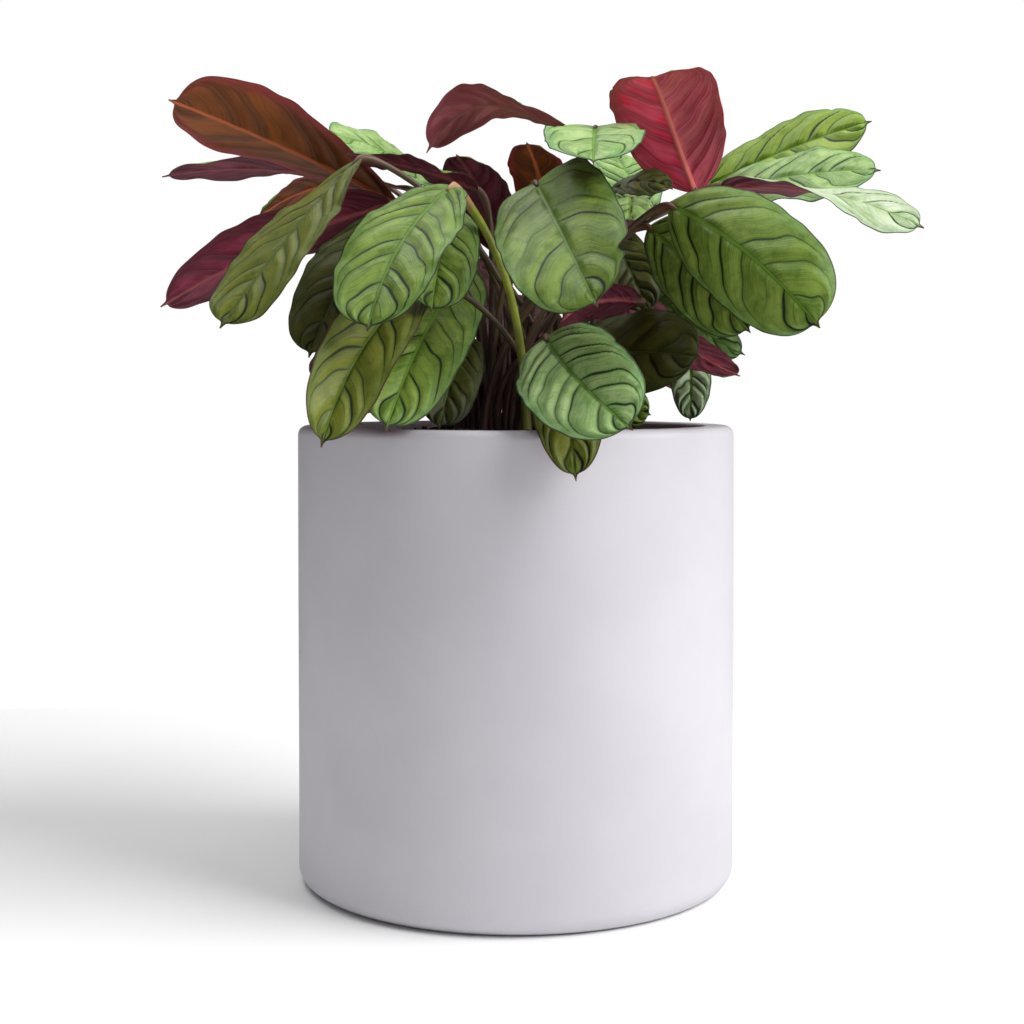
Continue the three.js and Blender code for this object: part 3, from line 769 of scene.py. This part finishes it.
def leaf_material(look):
    """Both sides of a blade: main veins as strokes, fine veins between them, midrib, margin and mottling,
    and painted shade and painted highlight on the swells beside the main veins.
    """
    top = {part: linear(colour) for part, colour in TOPS.get(look, TOPS["silver"]).items()}
    top["point"] = linear(POINT_COLOUR)
    under = {part: linear(colour) for part, colour in UNDERS.get(look, UNDERS["maroon"]).items()}
    tree = Tree("leaf_" + look)
    ramp, times = tree.smooth, tree.times
    along, across, side = tree.split(tree.attribute("leaf_place"))
    phase, steep, half = tree.split(tree.attribute("leaf_vein"))
    edge, rib, chance = tree.split(tree.attribute("leaf_reach"))
    seed = tree.add(times(chance, 37.0), times(half, 5.0))

    number = tree.math("FLOOR", tree.add(phase, 0.5))
    offset = tree.math("SUBTRACT", phase, number)
    to_vein = tree.math("DIVIDE", tree.math("ABSOLUTE", offset), steep)
    strength = tree.random(tree.join(number, half, times(chance, 91.0)))
    streaks = tree.noise(tree.join(times(phase, 9.0), times(across, 1.3), seed), 1.0, 4.0, 0.6)
    fine_streaks = tree.noise(tree.join(times(phase, 26.0), times(across, 2.0), seed), 1.0, 3.0, 0.6)
    patches = tree.noise(tree.join(times(along, 5.0), times(across, 1.6), seed), 1.0, 3.0, 0.55)
    specks = tree.noise(tree.place(), 900.0, 2.0, 0.6)
    mottle = tree.noise(tree.place(), 190.0, 4.0, 0.6)

    # Painted shade on the swell just past each main vein, and a painted highlight on the swell just before
    # it.
    ahead = ramp(offset, 0.0, 0.5, 1.0, 0.0)
    behind = tree.math("GREATER_THAN", offset, 0.0)
    shade = times(ahead, behind, ramp(across, 0.98, 0.6), 0.62)
    lit = times(ramp(offset, -0.02, -0.1), ramp(offset, -0.5, -0.1), 0.5)
    swell = ramp(across, 0.0, 0.24, 0.4, 1.0)
    wane = ramp(across, 0.35, 0.95, 1.0, 0.25)
    wide = times(swell, wane, ramp(strength, 0.0, 1.0, VEIN_NARROW, VEIN_WIDE))
    past_vein = tree.math("SUBTRACT", to_vein, times(wide, ramp(streaks, 0.2, 0.8, 0.8, 1.25)))
    fade = times(ramp(across, 0.98, 0.8), ramp(along, 0.02, 0.07))
    stroke = ramp(past_vein, 0.22, -0.18)
    between = tree.math("SUBTRACT", tree.math("ABSOLUTE", offset), 0.5)
    to_small = tree.math("DIVIDE", tree.math("ABSOLUTE", between), steep)
    small_fade = times(ramp(across, 0.75, 0.3), ramp(strength, 0.3, 0.9), 0.6)
    past_rib = tree.math("SUBTRACT", rib, ramp(along, 0.0, 1.0, 0.95, 0.3))

    body = tree.coat(
        top["body"], top,
        (ramp(patches, 0.36, 0.66), "glow"),
        (ramp(edge, 7.0, 0.6, 0.0, 0.75), "edge"),
        (ramp(rib, 6.0, 0.6, 0.0, 0.6), "mid"),
        # The painted shade and the painted highlight of the swells.
        (shade, "mid"),
        (lit, "glow"),
        (ramp(streaks, 0.35, 0.7, 0.0, 0.45), "mid"),
        (ramp(fine_streaks, 0.42, 0.66, 0.0, 0.55), "glow"),
        (ramp(mottle, 0.5, 0.7, 0.0, 0.6), "mid"),
        (ramp(mottle, 0.46, 0.3, 0.0, 0.4), "glow"),
        (ramp(specks, 0.5, 0.75, 0.0, 0.14), "vein"),
        (times(ramp(past_vein, 1.1, 0.0, 0.0, 0.5), fade), "mid"),
        (times(stroke, fade, ramp(strength, 0.0, 0.5, 0.5, 0.97)), "vein"),
        (times(ramp(to_small, 0.5, 0.15), small_fade), "vein"),
        (times(ramp(past_rib, 0.55, 0.1), 0.55), "vein"),
        (ramp(past_rib, 0.2, -0.1), "rib"),
        (ramp(edge, 0.95, 0.45, 0.0, 0.9), "margin"),
        (ramp(along, 0.972, 0.985), "point"),
    )

    below = tree.mix(ramp(patches, 0.35, 0.66), under["body"], under["glow"])
    # Painted shade on the half of the under side where the blade's columns start.
    if look in SHADED_HALF:
        half_shade = {part: linear(colour) for part, colour in SHADED_HALF[look].items()}
        other = tree.mix(ramp(patches, 0.35, 0.66), half_shade["body"], half_shade["glow"])
        below = tree.mix(half, other, below)
    below = tree.coat(
        below, under,
        (ramp(edge, 9.0, 0.8, 0.0, 0.85), "edge"),
        (times(ramp(to_vein, 4.6, 0.6, 0.0, 0.75), ramp(across, 1.0, 0.7)), "band"),
        (ramp(fine_streaks, 0.4, 0.72, 0.0, 0.4), "streak"),
        (ramp(streaks, 0.4, 0.75, 0.0, 0.35), "band"),
        (times(ramp(to_vein, 0.55, 0.15), fade, 0.2), "streak"),
        (ramp(past_rib, 0.75, 0.1), "rib"),
        (ramp(edge, 0.7, 0.3, 0.0, 0.7), "band"),
    )

    tree.set("Base Color", tree.mix(side, below, body))
    gloss = tree.add(times(stroke, 0.06), ramp(fine_streaks, 0.3, 0.7, 0.38, 0.56))
    tree.set("Roughness", tree.add(gloss, times(tree.math("SUBTRACT", 1.0, side), 0.06)))
    tree.set("Specular IOR Level", 0.3)
    tree.set("Subsurface Weight", LEAF_GLOW)
    tree.set("Subsurface Radius", (1.0, 0.7, 0.5))
    tree.set("Subsurface Scale", LEAF_GLOW_DEPTH)
    tree.bump(tree.add(fine_streaks, times(specks, 0.4)), 0.5, 0.0003)
    return tree.material


def stem_material(name, foot, middle, knee):
    """A stem: one colour at the soil, one for its length, and one at the knee under the blade."""
    tree = Tree(name)
    _, around, _ = tree.split(tree.attribute("leaf_place"))
    height, to_blade, _ = tree.split(tree.attribute("leaf_vein"))
    _, _, chance = tree.split(tree.attribute("leaf_reach"))
    place = tree.join(tree.times(height, 0.03), tree.times(around, 9.0), tree.times(chance, 40.0))
    fibres = tree.noise(place, 1.0, 5.0, 0.65)
    patches = tree.noise(tree.place(), 90.0, 3.0, 0.5)
    colour = tree.mix(tree.smooth(height, 6.0, 60.0), linear(foot), linear(middle))
    colour = tree.mix(tree.smooth(patches, 0.4, 0.7, 0.0, 0.5), colour, linear(foot))
    colour = tree.mix(tree.smooth(to_blade, 15.0, 9.0, 0.0, 0.9), colour, linear(knee))
    colour = tree.mix(tree.smooth(fibres, 0.4, 0.75, 0.0, 0.5), colour, linear((52, 40, 26)))
    tree.set("Base Color", colour)
    tree.set("Roughness", tree.smooth(fibres, 0.2, 0.8, 0.38, 0.55))
    tree.bump(fibres, 0.4, 0.0002)
    return tree.material


def pot_material():
    """Matte white glaze with faint clouds and pinprick grain."""
    tree = Tree("pot_white")
    clouds = tree.noise(tree.place(), 14.0, 4.0, 0.55)
    grain = tree.noise(tree.place(), 1400.0, 2.0, 0.5)
    colour = tree.mix(tree.smooth(clouds, 0.35, 0.7), linear((213, 211, 217)), linear((207, 204, 211)))
    colour = tree.mix(tree.smooth(grain, 0.55, 0.8, 0.0, 0.25), colour, linear((196, 193, 198)))
    tree.set("Base Color", colour)
    tree.set("Roughness", tree.smooth(clouds, 0.3, 0.7, 0.5, 0.6))
    tree.bump(grain, 0.12, 0.0002)
    return tree.material


def soil_material(name, dark, light):
    tree = Tree(name)
    lumps = tree.cells(tree.place(), 420.0)
    clouds = tree.noise(tree.place(), 60.0, 5.0, 0.65)
    grain = tree.noise(tree.place(), 1500.0, 3.0, 0.7)
    colour = tree.mix(tree.smooth(clouds, 0.3, 0.7), linear(dark), linear(light))
    colour = tree.mix(tree.smooth(lumps, 0.1, 0.6, 0.0, 0.6), colour, linear((22, 16, 12)))
    colour = tree.mix(tree.smooth(grain, 0.5, 0.75, 0.0, 0.4), colour, linear((96, 74, 52)))
    tree.set("Base Color", colour)
    tree.set("Roughness", tree.smooth(grain, 0.3, 0.7, 0.82, 0.98))
    tree.bump(tree.add(grain, lumps), 0.6, 0.0008)
    return tree.material


def plain_material(name, colour, rough):
    tree = Tree(name)
    tree.set("Base Color", linear(colour))
    tree.set("Roughness", rough)
    return tree.material


def round_corner(x, z, radius, start, end, steps):
    angles = np.radians(np.linspace(start, end, steps + 1))
    return np.stack([x + radius * np.cos(angles), z + radius * np.sin(angles)], -1)


def add_turned(sheet, profile, turns, wobble):
    """A profile of (radius, height) turned about the Z axis. It starts and ends on the axis."""
    angles = np.linspace(0, 2 * math.pi, turns, endpoint=False)
    radius, height = profile[1:-1, 0][:, None], profile[1:-1, 1][:, None]
    radius = radius + wobble(height, angles[None, :])
    rings = np.stack([radius * np.cos(angles), radius * np.sin(angles), height + 0 * angles[None, :]], -1)
    first = sheet.add_points(rings)
    sheet.add_faces(grid_faces(len(rings), turns, first, close=True), 0)
    for end, ring, flip in ((profile[0], 0, True), (profile[-1], len(rings) - 1, False)):
        middle = sheet.add_points([0, 0, end[1]])
        loop = first + ring * turns + np.arange(turns)
        fan = np.stack([loop, np.roll(loop, -1), np.full(turns, middle)], -1)
        sheet.add_faces(fan[:, ::-1] if flip else fan, 0)


def build_pot():
    inner = POT_RADIUS - POT_WALL
    wall = np.linspace(FOOT_ROUND + 4, POT_HEIGHT - RIM_OUTER_ROUND - 4, WALL_ROWS)
    well = np.linspace(POT_HEIGHT - RIM_INNER_ROUND - 3, POT_FLOOR + INNER_ROUND + 3, WELL_ROWS)
    profile = np.vstack([
        [[0, 0], [POT_RADIUS - FOOT_ROUND - 12, 0], [POT_RADIUS - FOOT_ROUND - 1, 0]],
        round_corner(POT_RADIUS - FOOT_ROUND, FOOT_ROUND, FOOT_ROUND, -90, 0, 12),
        np.stack([np.full(WALL_ROWS, POT_RADIUS), wall], -1),
        round_corner(POT_RADIUS - RIM_OUTER_ROUND, POT_HEIGHT - RIM_OUTER_ROUND, RIM_OUTER_ROUND, 0, 90, 8),
        round_corner(inner + RIM_INNER_ROUND, POT_HEIGHT - RIM_INNER_ROUND, RIM_INNER_ROUND, 90, 180, 6),
        np.stack([np.full(WELL_ROWS, inner), well], -1),
        round_corner(inner - INNER_ROUND, POT_FLOOR + INNER_ROUND, INNER_ROUND, 0, -90, 5),
        [[0, POT_FLOOR]],
    ])

    def cast(height, angle):
        """The slight unevenness of a cast wall."""
        slow = CAST_DEPTH * np.sin(3 * angle + height / 60) + 0.07 * np.sin(7 * angle - height / 35 + 1)
        return slow * smooth(0, 20, height) - CAST_DEPTH

    sheet = Sheet()
    add_turned(sheet, profile, POT_TURNS, cast)
    piece = sheet.build("white_pot", [pot_material()])
    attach(piece, "root")
    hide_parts("pot")


def lumpy(x, y, waves):
    """A rough surface as a sum of seeded waves."""
    total = 0
    for direction, length, height, shift in waves:
        along = x * math.cos(direction) + y * math.sin(direction)
        total = total + height * np.sin(2 * math.pi * along / length + shift)
    return total


def build_soil(random):
    """The soil: an uneven top heaped a little round the stems, with crumbs and bark lying on it."""
    edge = POT_RADIUS - POT_WALL - SEAT_GAP
    waves = []
    for length, height in SOIL_WAVES:
        for _ in range(3):
            waves.append((random.random() * math.pi, length, height * 0.7, random.random() * 6.3))

    def top_at(x, y):
        reach = np.hypot(x, y)
        heap = SOIL_HEAP * np.exp(-(reach / HEAP_REACH) ** 2) - SOIL_DIP * smooth(70, 87, reach)
        return SOIL_TOP + heap + lumpy(x, y, waves) * (1 - 0.4 * smooth(78, 87, reach))

    sheet = Sheet()
    turns = SOIL_TURNS
    angles = np.linspace(0, 2 * math.pi, turns, endpoint=False)

    def ring_at(reach, height):
        return np.stack([reach * np.cos(angles), reach * np.sin(angles), np.full(turns, height)], -1)

    reach = edge * np.linspace(0.012, 1, SOIL_RINGS)[:, None]
    x, y = reach * np.cos(angles), reach * np.sin(angles)
    first = sheet.add_points(np.stack([x, y, top_at(x, y)], -1))
    sheet.add_faces(grid_faces(SOIL_RINGS, turns, first, flip=True, close=True), 0)
    middle = sheet.add_points([0, 0, top_at(0.0, 0.0)])
    loop = first + np.arange(turns)
    sheet.add_faces(np.stack([loop, np.roll(loop, -1), np.full(turns, middle)], -1), 0)
    rim = first + (SOIL_RINGS - 1) * turns + np.arange(turns)
    bottom = POT_FLOOR + SEAT_GAP
    low, base = ring_at(edge, bottom + SOIL_CHAMFER), ring_at(edge - SOIL_CHAMFER, bottom)
    ring = sheet.add_points(np.stack([low, base]))
    sheet.add_faces(np.stack([rim, ring + np.arange(turns), ring + np.roll(np.arange(turns), -1),
                              np.roll(rim, -1)], -1), 0)
    sheet.add_faces(grid_faces(2, turns, ring, flip=True, close=True), 0)
    foot = sheet.add_points([0, 0, bottom])
    loop = ring + turns + np.arange(turns)
    sheet.add_faces(np.stack([loop, np.full(turns, foot), np.roll(loop, -1)], -1), 0)
    add_crumbs(sheet, top_at, edge, random)
    piece = sheet.build("potting_soil", [
        soil_material("soil_dark", (52, 38, 28), (78, 58, 42)),
        soil_material("soil_bark", (92, 64, 42), (128, 94, 64)),
    ])
    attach(piece, "root")
    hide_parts("soil")


def spun(points, first, second, angle):
    """Points turned by an angle, from one axis toward another."""
    turned = points.copy()
    turned[:, first] = points[:, first] * math.cos(angle) - points[:, second] * math.sin(angle)
    turned[:, second] = points[:, first] * math.sin(angle) + points[:, second] * math.cos(angle)
    return turned


def add_crumbs(sheet, top_at, edge, random):
    """Rough twenty-sided crumbs, and flatter and longer ones of bark."""
    gold = (1 + math.sqrt(5)) / 2
    corners = []
    for a, b in ((1, gold), (-1, gold), (1, -gold), (-1, -gold)):
        corners += [(0, a, b), (a, b, 0), (b, 0, a)]
    corners = unit(np.array(corners, float))
    gaps = np.linalg.norm(corners[:, None] - corners[None], axis=-1)
    near = (gaps > 0.1) & (gaps < 1.1)
    faces = []
    for i, j, k in combinations(range(len(corners)), 3):
        if near[i, j] and near[j, k] and near[i, k]:
            out = np.dot(np.cross(corners[j] - corners[i], corners[k] - corners[i]), corners[i])
            faces.append((i, j, k) if out > 0 else (i, k, j))
    faces = np.array(faces)
    for _ in range(CRUMBS):
        reach = (edge - 5) * math.sqrt(random.random())
        angle = random.random() * 2 * math.pi
        x, y = reach * math.cos(angle), reach * math.sin(angle)
        bark = random.random() < BARK_SHARE
        size = CRUMB_SIZE + CRUMB_SPREAD * random.random() ** CRUMB_POWER
        shape = np.array(BARK_SHAPE if bark else CRUMB_SHAPE)
        rough = 1 + 0.5 * (random.random((len(corners), 1)) - 0.5)
        points = corners * rough * shape * size
        spin, lean = random.random() * 2 * math.pi, (random.random() - 0.5) * 1.2
        height = top_at(x, y) + size * 0.15
        first = sheet.add_points(spun(spun(points, 0, 2, lean), 0, 1, spin) + [x, y, height])
        sheet.add_faces(first + faces, 1 if bark else 0)


def build_leaves(random):
    materials = {look: leaf_material(look) for look in (*TOPS, *UNDERS)}
    stems = {
        "green": stem_material("stem_green", (112, 116, 44), (168, 184, 52), (196, 146, 108)),
        "plain": stem_material("stem_plain", (66, 38, 36), (88, 70, 44), (104, 72, 52)),
    }
    looks = {name: look for look, names in LOOK_OF.items() for name in names}
    for name, given in LEAVES.items():
        look = looks.get(name, "silver")
        leaf = {**PLAIN_LEAF, "veins": VEINS.get(name, PLAIN_VEINS), "nicks": NICKS.get(name, []), **given}
        rows, columns = FAR_GRID if name.startswith("back") else NEAR_GRID
        sheet = Sheet()
        add_blade(sheet, leaf, rows, columns, random)
        add_stem(sheet, leaf, STOUT_STEMS.get(name, 1.0), random)
        stem = stems["green" if name in GREEN_STEMS else "plain"]
        piece = sheet.build(name + "_fine", [materials[look], stem])
        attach(piece, "root")
        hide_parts(name)


def build_camera():
    camera = bpy.data.objects.new("camera", bpy.data.cameras.new("camera"))
    bpy.context.scene.collection.objects.link(camera)
    camera.location = Vector(CAMERA_PLACE) * MM
    camera.rotation_euler = (math.radians(90 - CAMERA_TILT), 0, 0)
    camera.data.sensor_width = SENSOR_WIDTH
    camera.data.lens = SENSOR_WIDTH * FOCAL_PIXELS / IMAGE_SIZE
    camera.data.shift_x = 0.5 - AXIS_X / IMAGE_SIZE
    camera.data.shift_y = AXIS_Y / IMAGE_SIZE - 0.5
    bpy.context.scene.camera = camera


def build_studio():
    """A pale floor, a big soft light from the right, a softer one above, and white surroundings."""
    bpy.ops.mesh.primitive_plane_add(size=FLOOR_SIZE, location=(0, FLOOR_BACK - FLOOR_SIZE / 2, 0))
    floor = bpy.context.object
    floor.name = "floor"
    floor.data.materials.append(plain_material("floor_white", FLOOR_COLOUR, 0.9))
    for name, place, size, power in LIGHTS:
        lamp = bpy.data.lights.new(name, "AREA")
        lamp.size = size
        lamp.energy = power
        light = bpy.data.objects.new(name, lamp)
        light.location = place
        light.rotation_euler = (Vector(LIGHT_AIM) - Vector(place)).to_track_quat("-Z", "Y").to_euler()
        bpy.context.scene.collection.objects.link(light)
    world = bpy.data.worlds.new("white")
    world.use_nodes = True
    nodes, links = world.node_tree.nodes, world.node_tree.links
    background = nodes["Background"]
    background.inputs["Color"].default_value = (1, 1, 1, 1)
    path = nodes.new("ShaderNodeLightPath")
    strength = nodes.new("ShaderNodeMapRange")
    links.new(path.outputs["Is Camera Ray"], strength.inputs["Value"])
    strength.inputs["To Min"].default_value = SURROUND
    strength.inputs["To Max"].default_value = 1.0
    links.new(strength.outputs[0], background.inputs["Strength"])
    bpy.context.scene.world = world
    bpy.context.scene.view_settings.view_transform = "Standard"


build_camera()
build_studio()
build_pot()
build_soil(np.random.default_rng(SEED))
build_leaves(np.random.default_rng(SEED + 1))
